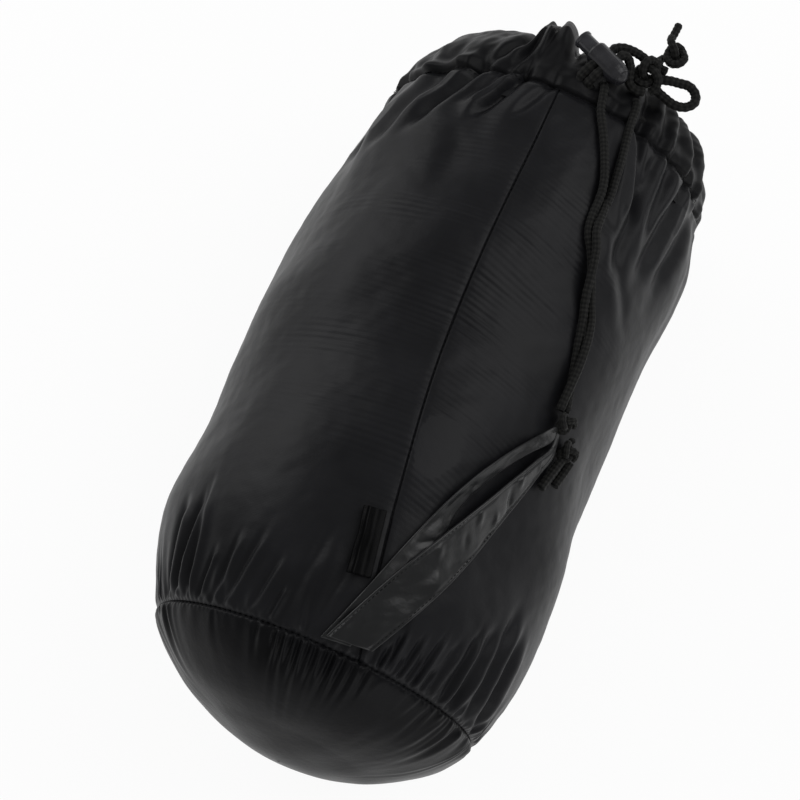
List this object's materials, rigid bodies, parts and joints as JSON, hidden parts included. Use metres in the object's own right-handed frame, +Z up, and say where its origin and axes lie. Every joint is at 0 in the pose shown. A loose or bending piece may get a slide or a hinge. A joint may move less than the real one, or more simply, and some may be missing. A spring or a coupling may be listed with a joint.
{
  "type": "drawstring stuff sack",
  "caption": "Black drawstring stuff sack, packed full and lying on its side, with a domed base, a sprung cord lock, a bow in the drawcord, and a strap-and-cord carry handle.",
  "frame": {"origin": "the underside mount: the middle of the flat the sack rests on, under the middle of its cloth body and hem", "axes": "+Y along the sack from its base to its mouth, +Z up from the surface it lies on, +X across"},
  "size_m": [0.2036, 0.4167, 0.1937],
  "materials": {
    "black_taffeta": "semi-gloss coated nylon taffeta",
    "base_taffeta": "semi-gloss coated nylon taffeta",
    "hem_taffeta": "semi-gloss coated nylon taffeta",
    "strap_taffeta": "folded nylon taffeta with topstitching",
    "quilted_filling": "matte quilted taffeta",
    "black_braid": "matte round braid",
    "label_satin": "blank satin ribbon",
    "moulded_plastic": "smooth moulded",
    "plunger_plastic": "smooth moulded",
    "spring_steel": "drawn wire"
  },
  "bodies": {
    "sack": {"body_panel": "black_taffeta", "base_panel": "base_taffeta", "stuffed_filling": "quilted_filling", "drawcord_casing": "hem_taffeta", "drawcord_in_casing": "black_braid", "drawcord_lead_upper": "black_braid", "drawcord_lead_lower": "black_braid", "bow_knot": "black_braid", "bow_loop": "black_braid", "stopper_tail": "black_braid", "carry_cord_left_top": "black_braid", "carry_cord_right_top": "black_braid", "carry_cord_bight": "black_braid"},
    "cord_lock": {"lock_barrel": "moulded_plastic", "lock_spring": "spring_steel"},
    "plunger": {"lock_plunger": "plunger_plastic"},
    "handle": {"carry_strap": "strap_taffeta", "carry_cord_left": "black_braid", "carry_cord_right": "black_braid", "carry_knot": "black_braid", "tail_knot": "black_braid", "carry_tail_long": "black_braid", "carry_tail_short": "black_braid"},
    "label": {"label_loop": "label_satin"}
  },
  "joints": [
    {"name": "lock_slide", "type": "slide", "parent": "sack", "child": "cord_lock", "axis": [0.4871, 0.8734, 0], "range_m": [0, 0.002]},
    {"name": "plunger_press", "type": "slide", "parent": "cord_lock", "child": "plunger", "axis": [0.8723, -0.4864, 0.0503], "range_m": [0, 0.003], "stiffness_N_per_m": 600, "springref_m": -0.001, "deforming": ["lock_spring"]},
    {"name": "handle_swing", "type": "hinge", "parent": "sack", "child": "handle", "pos_m": [0.01201, -0.1513, 0.18381], "axis": [-0.1456, -0.9893, 0.0122], "range_deg": [0, 90]},
    {"name": "label_flip", "type": "hinge", "parent": "sack", "child": "label", "pos_m": [0.02183, -0.1029, 0.18682], "axis": [-0.1629, 0.9785, 0.1266], "range_deg": [0, 10]}
  ]
}
